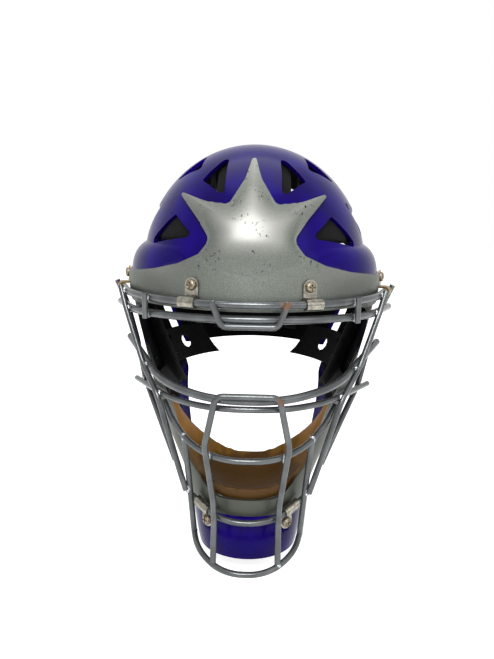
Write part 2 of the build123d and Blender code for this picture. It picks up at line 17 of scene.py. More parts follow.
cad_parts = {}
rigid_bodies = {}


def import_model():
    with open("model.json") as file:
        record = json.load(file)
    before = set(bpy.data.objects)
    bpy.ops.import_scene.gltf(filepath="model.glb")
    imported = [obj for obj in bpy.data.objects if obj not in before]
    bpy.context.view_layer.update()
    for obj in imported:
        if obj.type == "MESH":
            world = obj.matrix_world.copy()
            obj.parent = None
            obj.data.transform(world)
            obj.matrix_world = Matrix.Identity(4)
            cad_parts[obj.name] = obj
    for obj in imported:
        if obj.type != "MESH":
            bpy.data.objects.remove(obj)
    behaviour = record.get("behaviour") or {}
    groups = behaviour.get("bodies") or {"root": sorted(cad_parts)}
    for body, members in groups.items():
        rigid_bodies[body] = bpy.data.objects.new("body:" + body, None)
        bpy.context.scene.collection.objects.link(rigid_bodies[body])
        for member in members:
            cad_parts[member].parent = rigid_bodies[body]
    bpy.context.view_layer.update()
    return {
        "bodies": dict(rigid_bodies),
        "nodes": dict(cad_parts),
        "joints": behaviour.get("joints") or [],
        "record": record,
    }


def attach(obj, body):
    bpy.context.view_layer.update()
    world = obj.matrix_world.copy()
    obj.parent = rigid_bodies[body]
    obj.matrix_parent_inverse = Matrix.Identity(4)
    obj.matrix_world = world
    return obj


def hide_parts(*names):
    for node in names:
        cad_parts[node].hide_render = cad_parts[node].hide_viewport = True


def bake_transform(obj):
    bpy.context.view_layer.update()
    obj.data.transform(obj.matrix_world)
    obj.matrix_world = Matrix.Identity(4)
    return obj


LOG = logging.getLogger("catcher_helmet")
MM = 0.001
Place = Tuple[float, float, float]
Span = Tuple[float, float]
Colour = Tuple[float, float, float, float]
Tree = bpy.types.NodeTree
Socket = bpy.types.NodeSocket
Thing = bpy.types.Object
Grid = numpy.ndarray


class Body(Enum):
    """The two rigid bodies of the helmet."""

    HELMET = "helmet"
    BACK = "back"


def linear(code: str) -> Colour:
    """Turns an sRGB hex colour into linear light.

    Args:
        code: The colour as six hex digits after a hash sign.

    Returns:
        Red, green, blue and an alpha of one.
    """
    parts = [int(code[i : i + 2], 16) / 255 for i in (1, 3, 5)]
    red, green, blue = [c / 12.92 if c <= 0.04045 else ((c + 0.055) / 1.055) ** 2.4 for c in parts]
    return (red, green, blue, 1.0)


def add(tree: Tree, kind: str, values: Dict[Any, Any], **settings: Any) -> bpy.types.Node:
    """Adds one node with its settings, values and links.

    Args:
        tree: The material's node tree.
        kind: Blender's name for the node's type, after "ShaderNode".
        values: Input name or number to a value, or to the output socket that feeds it.
        **settings: The node's own properties.

    Returns:
        The new node.
    """
    node = tree.nodes.new("ShaderNode" + kind)
    for name, value in settings.items():
        setattr(node, name, value)
    for key, value in values.items():
        if isinstance(value, bpy.types.NodeSocket):
            tree.links.new(value, node.inputs[key])
        else:
            node.inputs[key].default_value = value
    return node


def new_material(name: str) -> Tuple[bpy.types.Material, Tree]:
    """Makes an empty material.

    Args:
        name: The material's name.

    Returns:
        The material and its node tree.
    """
    material = bpy.data.materials.new(name)
    material.use_nodes = True
    material.node_tree.nodes.clear()
    return material, material.node_tree


def show(tree: Tree, shader: Socket) -> None:
    """Adds the material's output and feeds it.

    Args:
        tree: The material's node tree.
        shader: The shader that the surface shows.
    """
    add(tree, "OutputMaterial", {"Surface": shader})


def here(tree: Tree) -> Socket:
    """Adds the place on the object in metres, which is also the place in the helmet's frame.

    Args:
        tree: The material's node tree.

    Returns:
        The place.
    """
    return add(tree, "TexCoord", {}).outputs["Object"]


def reckon(tree: Tree, how: str, first: Any, second: Any = 0.0) -> Socket:
    """Adds one step of arithmetic.

    Args:
        tree: The material's node tree.
        how: Blender's name for the operation.
        first: The first value or socket.
        second: The second value or socket.

    Returns:
        The result.
    """
    return add(tree, "Math", {0: first, 1: second}, operation=how).outputs[0]


def times(tree: Tree, *factors: Any) -> Socket:
    """Multiplies two or more values.

    Args:
        tree: The material's node tree.
        *factors: The values or sockets.

    Returns:
        Their product.
    """
    product = factors[0]
    for factor in factors[1:]:
        product = reckon(tree, "MULTIPLY", product, factor)
    return product


def rise(tree: Tree, value: Socket, low: float, high: float) -> Socket:
    """Adds a soft step up.

    Args:
        tree: The material's node tree.
        value: The value that is looked at.
        low: Where the step begins.
        high: Where it ends.

    Returns:
        0 below the low value and 1 above the high one.
    """
    values = {"Value": value, "From Min": low, "From Max": high}
    return add(tree, "MapRange", values, interpolation_type="SMOOTHSTEP").outputs["Result"]


def fall(tree: Tree, value: Socket, low: float, high: float) -> Socket:
    """Adds a soft step down.

    Args:
        tree: The material's node tree.
        value: The value that is looked at.
        low: Where the step begins.
        high: Where it ends.

    Returns:
        1 below the low value and 0 above the high one.
    """
    return rise(tree, times(tree, value, -1.0), -high, -low)


def blended(tree: Tree, share: Any, first: Any, second: Any) -> Socket:
    """Adds a mix of two colours.

    Args:
        tree: The material's node tree.
        share: How much of the second colour it takes, from 0 to 1.
        first: The first colour or socket.
        second: The second colour or socket.

    Returns:
        The mixed colour.
    """
    return add(tree, "Mix", {"Factor": share, 6: first, 7: second}, data_type="RGBA").outputs[2]


def vector(tree: Tree, how: str, first: Any, second: Any, output: str = "Vector") -> Socket:
    """Adds one step of arithmetic with places or directions.

    Args:
        tree: The material's node tree.
        how: Blender's name for the operation.
        first: The first place.
        second: The second place.
        output: "Vector" for a place, or "Value" for a number.

    Returns:
        The result.
    """
    return add(tree, "VectorMath", {0: first, 1: second}, operation=how).outputs[output]


def grain(
    tree: Tree, size_mm: float, detail: float = 2.0, rough: float = 0.5, place: Optional[Socket] = None
) -> Socket:
    """Adds solid noise whose lumps have a real size.

    Args:
        tree: The material's node tree.
        size_mm: The width of one lump in millimetres.
        detail: How many finer octaves it has.
        rough: How strong those octaves are.
        place: A stretched place, where the lumps aren't round.

    Returns:
        The noise as a value from 0 to 1.
    """
    place = here(tree) if place is None else place
    values = {"Vector": place, "Scale": 1 / (size_mm * MM), "Detail": detail, "Roughness": rough}
    return add(tree, "TexNoise", values, noise_dimensions="3D").outputs["Fac"]


def bumped(tree: Tree, height: Socket, depth_mm: float, strength: float) -> Socket:
    """Adds a bump of a real depth.

    Args:
        tree: The material's node tree.
        height: The height from 0 to 1.
        depth_mm: The depth of one whole step in millimetres.
        strength: How much of the bump shows.

    Returns:
        The bumped normal.
    """
    values = {"Height": height, "Distance": depth_mm * MM, "Strength": strength}
    return add(tree, "Bump", values).outputs["Normal"]


def line_through(tree: Tree, value: Socket, points: Sequence[Span]) -> Socket:
    """Adds a line through points, from 0 to 1 both ways.

    Args:
        tree: The material's node tree.
        value: Where along the line it is read.
        points: The line's corners.

    Returns:
        The line's height there.
    """
    node = add(tree, "FloatCurve", {"Value": value})
    line = node.mapping.curves[0]
    line.points[0].location = points[0]
    line.points[-1].location = points[-1]
    for point in points[1:-1]:
        line.points.new(*point)
    for point in line.points:
        point.handle_type = "VECTOR"
    node.mapping.update()
    return node.outputs[0]


@dataclass(frozen=True)
class PaintedShell:
    """Injection-moulded ABS, violet-blue outside, with sprayed silver on the star, band and rim.

    The moulded skin has a deep wet gloss. The silver is a metal-flake lacquer, so it glitters finely and is
    duller than the plastic. Where the star stands proudest it carries a painted highlight, the temples and
    the chin carry painted shade, and above the brow it is chipped to a dark primer. The faces that look
    towards the head are coloured near black.
    """

    violet: str = "#15026a"
    violet_deep: str = "#0e014b"
    silver: str = "#7b807a"
    silver_dark: str = "#5f635d"
    # painted highlight colour for the silver where the star stands proudest
    silver_highlight: str = "#aeaca8"
    # painted shade colour for the silver at the chin and at both temples
    silver_shaded: str = "#4b4d46"
    # near-black colour on the faces that look towards the head
    lining: str = "#09090b"
    primer: str = "#1b1924"
    flake_mm: float = 0.45
    flake_share: Span = (0.35, 0.75)
    chip_mm: float = 2.8
    chip_share: Span = (0.62, 0.635)
    chip_patch_mm: float = 22.0
    chip_patch_share: Span = (0.48, 0.56)
    chip_heights: Span = (0.045, 0.080)
    cloud_mm: float = 40.0
    cloud_share: Span = (0.3, 0.75)
    ripple_mm: float = 5.0
    ripple_depth_mm: float = 0.05
    # painted shade on the silver: its heights at the chin, its span across at the temples, and its strength
    chin_heights: Span = (-0.085, -0.055)
    chin_shade: float = 0.9
    temples_across: Span = (0.030, 0.110)
    temple_shade: float = 0.5
    # where the painted highlight lies: how proud the star stands, its heights, and how much of it shows
    highlight_stands: Span = (1.030, 1.072)
    highlight_heights: Span = (0.050, 0.088)
    highlight_share: float = 0.75
    head_y: float = 0.006
    head_bends_at: float = 0.05
    head_slant: float = 0.42
    faces_in: Span = (-0.82, -0.78)
    roughness: float = 0.2
    cloud_roughness: float = 0.06
    silver_roughness: float = 0.24
    lining_roughness: float = 0.6
    flake_metal: float = 0.7
    specular: float = 0.07
    dome_middle: Place = (0.0, 0.003, 0.060)
    dome_reach: Place = (0.102, 0.121, 0.111)
    star_stands: Span = (1.006, 1.012)
    star_above: Span = (0.0835, 0.0845)
    brow_reach: float = 0.12
    brow_height: float = 0.1
    brow_edge: Tuple[Span, ...] = (
        (0, 0.95), (0.272, 0.89), (0.347, 0.778), (0.489, 0.698), (0.669, 0.640), (0.935, 0.581), (1, 0.58),
    )
    brow_foot: Span = (0.0318, 0.0322)
    chin_depth: float = 0.18
    rim_edge: Tuple[Span, ...] = (
        (0, 0.99), (0.18, 0.86), (0.3, 0.72), (0.48, 0.62), (0.62, 0.56), (0.74, 0.52), (1, 0.5),
    )
    rim_foot: Span = (-0.1342, -0.1336)
    rim_slant: float = 0.25
    rim_back: Span = (0.032, 0.0328)

    def stands_out(self, tree: Tree, place: Socket) -> Socket:
        """Tells how far out of the plain dome a place stands.

        Args:
            tree: The material's node tree.
            place: The place on the shell.

        Returns:
            1 on the dome itself and more outside it.
        """
        shares = vector(tree, "DIVIDE", vector(tree, "SUBTRACT", place, self.dome_middle), self.dome_reach)
        return add(tree, "VectorMath", {0: shares}, operation="LENGTH").outputs["Value"]

    def star_mask(self, tree: Tree, place: Socket) -> Socket:
        """Marks the raised star on the dome and the brow band under it.

        Args:
            tree: The material's node tree.
            place: The place on the shell.

        Returns:
            1 on the silver and 0 on the violet.
        """
        across, depth, height = add(tree, "SeparateXYZ", {0: place}).outputs
        stands = rise(tree, self.stands_out(tree, place), *self.star_stands)
        raised = times(tree, stands, rise(tree, height, *self.star_above))
        along = reckon(tree, "DIVIDE", reckon(tree, "ABSOLUTE", across), self.brow_reach)
        edge = times(tree, line_through(tree, along, self.brow_edge), self.brow_height)
        under = rise(tree, reckon(tree, "SUBTRACT", edge, height), -0.3 * MM, 0.3 * MM)
        brow = times(tree, under, rise(tree, height, *self.brow_foot))
        return times(tree, reckon(tree, "MAXIMUM", raised, brow), fall(tree, depth, 0.0, 0.5 * MM))

    def rim_mask(self, tree: Tree, place: Socket) -> Socket:
        """Marks the silver rim down both sides of the face opening and across the chin.

        Args:
            tree: The material's node tree.
            place: The place on the shell.

        Returns:
            1 on the silver and 0 on the violet.
        """
        across, depth, height = add(tree, "SeparateXYZ", {0: place}).outputs
        down = reckon(tree, "DIVIDE", times(tree, height, -1.0), self.chin_depth)
        width = times(tree, line_through(tree, down, self.rim_edge), self.brow_reach)
        inside = reckon(tree, "SUBTRACT", width, reckon(tree, "ABSOLUTE", across))
        slant = reckon(tree, "SUBTRACT", times(tree, height, self.rim_slant), depth)
        return times(
            tree,
            rise(tree, inside, -0.4 * MM, 0.4 * MM),
            rise(tree, height, *self.rim_foot),
            rise(tree, slant, *self.rim_back),
            fall(tree, height, *self.brow_foot),
        )

    def inside_mask(self, tree: Tree, place: Socket) -> Socket:
        """Marks the faces that look towards the wearer's head.

        The head's middle line stands upright on top and leans forwards below the height where it bends.

        Args:
            tree: The material's node tree.
            place: The place on the shell.

        Returns:
            1 on the inside and 0 outside and on the edges.
        """
        across, depth, height = add(tree, "SeparateXYZ", {0: place}).outputs
        low = reckon(tree, "MINIMUM", reckon(tree, "SUBTRACT", height, self.head_bends_at), 0.0)
        middle = reckon(tree, "ADD", self.head_y, times(tree, low, self.head_slant))
        high = reckon(tree, "MAXIMUM", reckon(tree, "SUBTRACT", height, self.dome_middle[2]), 0.0)
        values = {0: across, 1: reckon(tree, "SUBTRACT", depth, middle), 2: high}
        away = add(tree, "CombineXYZ", values).outputs[0]
        away = add(tree, "VectorMath", {0: away}, operation="NORMALIZE").outputs[0]
        normal = add(tree, "NewGeometry", {}).outputs["Normal"]
        facing = vector(tree, "DOT_PRODUCT", away, normal, "Value")
        return fall(tree, facing, *self.faces_in)

    def lacquer(self, tree: Tree, place: Socket) -> Socket:
        """Colours the silver: fine flakes, painted shade at the chin and temples, and a painted highlight on
        the proud star.

        Args:
            tree: The material's node tree.
            place: The place on the shell.

        Returns:
            The silver's colour.
        """
        across, _, height = add(tree, "SeparateXYZ", {0: place}).outputs
        flakes = rise(tree, grain(tree, self.flake_mm, 1.0), *self.flake_share)
        colour = blended(tree, flakes, linear(self.silver_dark), linear(self.silver))
        # painted shade: the silver is darkened low at the chin and out at both temples
        chin = times(tree, fall(tree, height, *self.chin_heights), self.chin_shade)
        side = reckon(tree, "ABSOLUTE", across)
        temples = times(tree, rise(tree, side, *self.temples_across), self.temple_shade)
        colour = blended(tree, reckon(tree, "MAXIMUM", chin, temples), colour, linear(self.silver_shaded))
        # painted highlight: the silver is lightened where the star stands proudest, above the brow
        proud = rise(tree, self.stands_out(tree, place), *self.highlight_stands)
        star_highlight = times(tree, proud, rise(tree, height, *self.highlight_heights), self.highlight_share)
        return blended(tree, star_highlight, colour, linear(self.silver_highlight))

    def chipped(self, tree: Tree, place: Socket) -> Socket:
        """Marks the chips in the lacquer, which come in patches above the brow.

        Args:
            tree: The material's node tree.
            place: The place on the shell.

        Returns:
            1 in a chip.
        """
        height = add(tree, "SeparateXYZ", {0: place}).outputs["Z"]
        chips = rise(tree, grain(tree, self.chip_mm, 3.0, 0.7), *self.chip_share)
        patches = rise(tree, grain(tree, self.chip_patch_mm, 1.0), *self.chip_patch_share)
        return times(tree, chips, patches, rise(tree, height, *self.chip_heights))

    def make(self) -> bpy.types.Material:
        """Builds the painted shell's material.

        Returns:
            The material.
        """
        material, tree = new_material("moulded_abs_violet_with_silver_lacquer")
        place = here(tree)
        sprayed = reckon(tree, "MAXIMUM", self.star_mask(tree, place), self.rim_mask(tree, place))
        chips = self.chipped(tree, place)
        inside = self.inside_mask(tree, place)
        kept, outside = reckon(tree, "SUBTRACT", 1.0, chips), reckon(tree, "SUBTRACT", 1.0, inside)
        silver = times(tree, sprayed, kept, outside)
        cloud = rise(tree, grain(tree, self.cloud_mm, 2.0), *self.cloud_share)
        plastic = blended(tree, cloud, linear(self.violet_deep), linear(self.violet))
        plastic = blended(tree, times(tree, chips, sprayed), plastic, linear(self.primer))
        painted = blended(tree, silver, plastic, self.lacquer(tree, place))
        lining = times(tree, inside, self.lining_roughness)
        sprays = reckon(tree, "ADD", times(tree, silver, self.silver_roughness), lining)
        skin = reckon(tree, "ADD", self.roughness, times(tree, cloud, self.cloud_roughness))
        relief = reckon(tree, "ADD", grain(tree, self.ripple_mm, 1.0), times(tree, silver, 2.0))
        values = {
            "Base Color": blended(tree, inside, painted, linear(self.lining)),
            "Metallic": times(tree, silver, self.flake_metal),
            "Roughness": reckon(tree, "ADD", sprays, skin),
            "Normal": bumped(tree, relief, self.ripple_depth_mm, 0.6),
            "Specular IOR Level": self.specular,
        }
        show(tree, add(tree, "BsdfPrincipled", values).outputs[0])
        return material


@dataclass(frozen=True)
class PaintedSteel:
    """Welded steel rod under a satin grey powder coat, with a slight orange peel and two rusted welds."""

    coat: str = "#5e6162"
    shade: str = "#4c4f50"
    rust: str = "#6b4526"
    metal: float = 0.6
    roughness: float = 0.25
    rust_roughness: float = 0.45
    rust_mm: float = 1.6
    rust_share: Span = (0.38, 0.52)
    rust_reach: Span = (2 * MM, 6.5 * MM)
    rusted: Tuple[Place, ...] = ((0.0285, -0.1300, 0.0425), (0.0270, -0.1470, -0.0270))
    patch_mm: float = 14.0
    patch_share: Span = (0.3, 0.75)
    peel_mm: float = 1.8
    peel_depth_mm: float = 0.06

    def make(self) -> bpy.types.Material:
        """Builds the rod's material.

        Returns:
            The material.
        """
        material, tree = new_material("powder_coated_steel_rod")
        place = here(tree)
        patch = rise(tree, grain(tree, self.patch_mm, 2.0), *self.patch_share)
        colour = blended(tree, patch, linear(self.shade), linear(self.coat))
        spread: Any = 0.0
        for spot in self.rusted:
            away = vector(tree, "DISTANCE", place, spot, "Value")
            spread = reckon(tree, "MAXIMUM", fall(tree, away, *self.rust_reach), spread)
        rust = times(tree, spread, rise(tree, grain(tree, self.rust_mm, 3.0), *self.rust_share))
        values = {
            "Base Color": blended(tree, rust, colour, linear(self.rust)),
            "Metallic": reckon(tree, "SUBTRACT", self.metal, times(tree, rust, self.metal)),
            "Roughness": reckon(tree, "ADD", self.roughness, times(tree, rust, self.rust_roughness)),
            "Normal": bumped(tree, grain(tree, self.peel_mm, 2.0), self.peel_depth_mm, 0.4),
        }
        show(tree, add(tree, "BsdfPrincipled", values).outputs[0])
        return material


@dataclass(frozen=True)
class PlatedMetal:
    """Stamped or turned steel with a thin plating that has dulled, and rust where the plating is gone."""

    name: str
    bright: str
    dull: str
    stain: str
    stain_from: float
    roughness: float
    metal: float = 0.95
    patch_mm: float = 3.5
    patch_share: Span = (0.3, 0.7)
    stain_mm: float = 2.2
    stain_edge: float = 0.1
    stain_cover: float = 0.7
    stain_roughness: float = 0.4
    dent_mm: float = 0.9
    dent_depth_mm: float = 0.06

    def make(self) -> bpy.types.Material:
        """Builds the plated metal's material.

        Returns:
            The material.
        """
        material, tree = new_material(self.name)
        patch = rise(tree, grain(tree, self.patch_mm, 3.0), *self.patch_share)
        colour = blended(tree, patch, linear(self.dull), linear(self.bright))
        spots = grain(tree, self.stain_mm, 4.0, 0.65)
        stain = rise(tree, spots, self.stain_from, self.stain_from + self.stain_edge)
        values = {
            "Base Color": blended(tree, stain, colour, linear(self.stain)),
            "Metallic": reckon(tree, "SUBTRACT", self.metal, times(tree, stain, self.stain_cover)),
            "Roughness": reckon(tree, "ADD", self.roughness, times(tree, stain, self.stain_roughness)),
            "Normal": bumped(tree, grain(tree, self.dent_mm, 2.0), self.dent_depth_mm, 0.5),
        }
        show(tree, add(tree, "BsdfPrincipled", values).outputs[0])
        return material


@dataclass(frozen=True)
class WovenCloth:
    """Black polyester, brushed over laminated foam or woven as elastic webbing, dull with a faint sheen.

    The real threads are 0.4 mm apart; they are drawn at 1 mm or more so that they show.
    """

    name: str
    thread: str
    gap: str
    pitch_mm: float = 1.0
    ribbed: bool = False
    bands_per_unit: float = 3.18
    wear_mm: float = 18.0
    wear_share: Span = (0.2, 0.8)
    thread_depth_mm: float = 0.25

    def threads(self, tree: Tree, way: str) -> Socket:
        """Adds one set of parallel threads.

        Args:
            tree: The material's node tree.
            way: The axis that the threads are counted along.

        Returns:
            Their height from 0 to 1.
        """
        scale = 1 / (self.pitch_mm * MM) / self.bands_per_unit
        values = {"Vector": here(tree), "Scale": scale, "Distortion": 0.6, "Detail": 1.0}
        return add(tree, "TexWave", values, bands_direction=way).outputs["Fac"]

    def make(self) -> bpy.types.Material:
        """Builds the cloth's material.

        Returns:
            The material.
        """
        material, tree = new_material(self.name)
        weft = self.threads(tree, "Y" if self.ribbed else "X")
        weave = times(tree, reckon(tree, "ADD", self.threads(tree, "Z"), weft), 0.5)
        worn = times(tree, weave, rise(tree, grain(tree, self.wear_mm, 3.0), *self.wear_share))
        values = {
            "Base Color": blended(tree, worn, linear(self.gap), linear(self.thread)),
            "Roughness": 0.9,
            "Normal": bumped(tree, weave, self.thread_depth_mm, 0.6),
            "Sheen Weight": 0.03,
            "Specular IOR Level": 0.15,
            "Sheen Roughness": 0.5,
        }
        show(tree, add(tree, "BsdfPrincipled", values).outputs[0])
        return material


@dataclass(frozen=True)
class TanLeather:
    """Vegetable-tanned split leather over foam, golden above and oiled glossier where the chin rests; painted
    shade low down, in creases and at the lip.
    """

    light: str = "#b4803e"
    worn: str = "#9c6b2e"
    low_shade_tan: str = "#70511c"
    # dark brown for the pores, also used for the painted shade at the lip and in the creases
    pore_and_shade_brown: str = "#4a3213"
    shade_and_oil_heights: Span = (-0.094, -0.072)
    lip_shade_heights: Span = (-0.109, -0.102)
    pebble_mm: float = 1.6
    cloud_mm: float = 30.0
    crease_mm: float = 9.0
    crease_stretch: Place = (1.0, 0.35, 0.12)
    crease_share: Span = (0.60, 0.66)
    wander_mm: float = 16.0
    wander: float = 0.02
    low_shade_strength: float = 0.85
    lip_shade_strength: float = 0.9
    crease_shade_strength: float = 0.4
    pore_dark: float = 0.12
    relief_mm: float = 0.3

    def make(self) -> bpy.types.Material:
        """Builds the leather's material.

        Returns:
            The material.
        """
        material, tree = new_material("tan_leather_chin_cup")
        place = here(tree)
        values = {"Vector": place, "Scale": 1 / (self.pebble_mm * MM)}
        cells = add(tree, "TexVoronoi", values, feature="DISTANCE_TO_EDGE").outputs["Distance"]
        pebble = rise(tree, cells, 0.0, 0.25)
        cloud = rise(tree, grain(tree, self.cloud_mm, 3.0, 0.5), 0.3, 0.7)
        colour = blended(tree, cloud, linear(self.worn), linear(self.light))
        height = add(tree, "SeparateXYZ", {0: place}).outputs["Z"]
        drift = reckon(tree, "SUBTRACT", grain(tree, self.wander_mm, 2.0), 0.5)
        height = reckon(tree, "ADD", height, times(tree, drift, self.wander))
        # painted shade: the leather is darkened low in the cup; the same mask makes it glossier there, as
        # oiled
        low_shade_and_oil = fall(tree, height, *self.shade_and_oil_heights)
        colour = blended(tree, times(tree, low_shade_and_oil, self.low_shade_strength), colour, linear(self.low_shade_tan))
        # painted shade: the lip at the bottom of the cup is darkened further
        lip_shade = fall(tree, height, *self.lip_shade_heights)
        colour = blended(tree, times(tree, lip_shade, self.lip_shade_strength), colour, linear(self.pore_and_shade_brown))
        stretched = vector(tree, "MULTIPLY", place, self.crease_stretch)
        fold = grain(tree, self.crease_mm, 1.0, place=stretched)
        # painted shade along the creases low in the cup; the folds are also bumped
        crease_shade = times(tree, rise(tree, fold, *self.crease_share), low_shade_and_oil, self.crease_shade_strength)
        pores = times(tree, reckon(tree, "SUBTRACT", 1.0, pebble), self.pore_dark)
        marks = reckon(tree, "MAXIMUM", crease_shade, pores)
        relief = reckon(tree, "ADD", times(tree, pebble, 0.35), times(tree, fold, 3.0))
        values = {
            "Base Color": blended(tree, marks, colour, linear(self.pore_and_shade_brown)),
            "Roughness": reckon(tree, "SUBTRACT", 0.64, times(tree, low_shade_and_oil, 0.16)),
            "Normal": bumped(tree, relief, self.relief_mm, 0.6),
            "Specular IOR Level": 0.2,
        }
        show(tree, add(tree, "BsdfPrincipled", values).outputs[0])
        return material


def dress(thing: Thing, material: bpy.types.Material) -> None:
    """Gives an object one material in every slot.

    Args:
        thing: The object.
        material: Its material.
    """
    if not thing.data.materials:
        thing.data.materials.append(material)
    for index in range(len(thing.data.materials)):
        thing.data.materials[index] = material


def smooth(thing: Thing) -> None:
    """Shades a mesh smooth.

    Args:
        thing: The object whose mesh it is.
    """
    thing.data.polygons.foreach_set("use_smooth", [True] * len(thing.data.polygons))


def placed(name: str, mesh: bpy.types.Mesh) -> Thing:
    """Puts a mesh in the scene, at the origin.

    Args:
        name: The new object's name.
        mesh: Its mesh.

    Returns:
        The new object.
    """
    thing = bpy.data.objects.new(name, mesh)
    bpy.context.scene.collection.objects.link(thing)
    return thing


def copy_of(node: Thing, name: str) -> Thing:
    """Copies a solid's mesh into a new object that can be worked on.

    Args:
        node: The solid's object.
        name: The new object's name.

    Returns:
        The new object, at the origin and linked to the scene.
    """
    mesh = node.data.copy()
    mesh.materials.clear()
    return placed(name, mesh)


def settle(thing: Thing) -> None:
    """Applies every modifier of an object to its mesh.

    Args:
        thing: The object.
    """
    seen = bpy.context.evaluated_depsgraph_get()
    mesh = bpy.data.meshes.new_from_object(thing.evaluated_get(seen))
    thing.modifiers.clear()
    thing.data = mesh


def remesh(thing: Thing, voxel: float) -> None:
    """Adds an even mesh to an object as a modifier.

    Args:
        thing: The object.
        voxel: The mesh's pitch in metres.
    """
    even = thing.modifiers.new("even", "REMESH")
    even.mode = "VOXEL"
    even.voxel_size = voxel


def relax(thing: Thing, times_over: int) -> None:
    """Adds a smoothing to an object as a modifier.

    Args:
        thing: The object.
        times_over: How many times every point moves to its neighbours' middle.
    """
    softer = thing.modifiers.new("relax", "SMOOTH")
    softer.iterations = times_over
    softer.factor = 0.5


@dataclass(frozen=True)
class CupWall:
    """Moves the top of the chin cup's side walls out towards the shell's jaw, as the real cup is wide open.

    At each height the inside of the jaw is taken as an ellipse, which narrows down to the chin. The bowl is
    the ellipsoid that the solid was cut with. Spans run from the top of the narrowing to its foot.
    """

    face_gap: float = 11 * MM
    bowl_y: float = -0.084
    bowl_z: float = -0.060
    bowl_across: float = 0.062
    bowl_along: float = 0.062
    bowl_down: float = 0.060
    narrows: Span = (-0.045, -0.090)
    jaw_across: Span = (0.0840, 0.0630)
    jaw_y: Span = (-0.028, -0.052)
    jaw_along: Span = (0.130, 0.090)
    least: float = 0.0001

    def moved(self, place: Vector) -> float:
        """Tells where a point of the cup goes.

        Args:
            place: The point.

        Returns:
            Its new distance from the middle plane, with its side's sign.
        """
        x, y, z = place
        top, foot = self.narrows
        down = min(max((z - top) / (foot - top), 0.0), 1.0)
        across, middle, along = [a + (b - a) * down for a, b in (self.jaw_across, self.jaw_y, self.jaw_along)]
        outer = across * math.sqrt(max(1 - ((y - middle) / along) ** 2, 0.0))
        opening = math.sqrt(max(1 - ((y - self.bowl_y) / self.bowl_along) ** 2, self.least))
        share = math.sqrt(max(1 - ((z - self.bowl_z) / (self.bowl_down * opening)) ** 2, 0.0))
        inner, wanted = self.bowl_across * opening * share, (outer - self.face_gap) * share
        if y <= self.bowl_y or inner >= wanted or abs(x) >= outer:
            return x
        if abs(x) <= inner:
            return math.copysign(abs(x) * wanted / inner, x)
        return math.copysign(outer - (outer - abs(x)) * (outer - wanted) / (outer - inner), x)


@dataclass
class SoftPiece:
    """One padded piece: the solid it stands for, and how it is puffed up."""

    node: str
    body: Body
    voxel: float = 6 * MM
    draw_in: float = 1.6 * MM
    cap: float = 3.0 * MM
    fill: float = 0.8
    smoothing: int = 3
    wall: Optional[CupWall] = None

    def start(self, frame: Dict[str, Any]) -> Thing:
        """Remeshes a copy of the solid, a little smaller than it.

        Args:
            frame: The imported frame.

        Returns:
            The piece, ready to be puffed up.
        """
        thing = copy_of(frame["nodes"][self.node], self.node + "_soft")
        remesh(thing, self.voxel)
        settle(thing)
        if self.wall:
            for vertex in thing.data.vertices:
                vertex.co.x = self.wall.moved(vertex.co)
        relax(thing, self.smoothing)
        settle(thing)
        normals = [vertex.normal.copy() for vertex in thing.data.vertices]
        for vertex, normal in zip(thing.data.vertices, normals):
            vertex.co -= normal * self.draw_in
        return thing


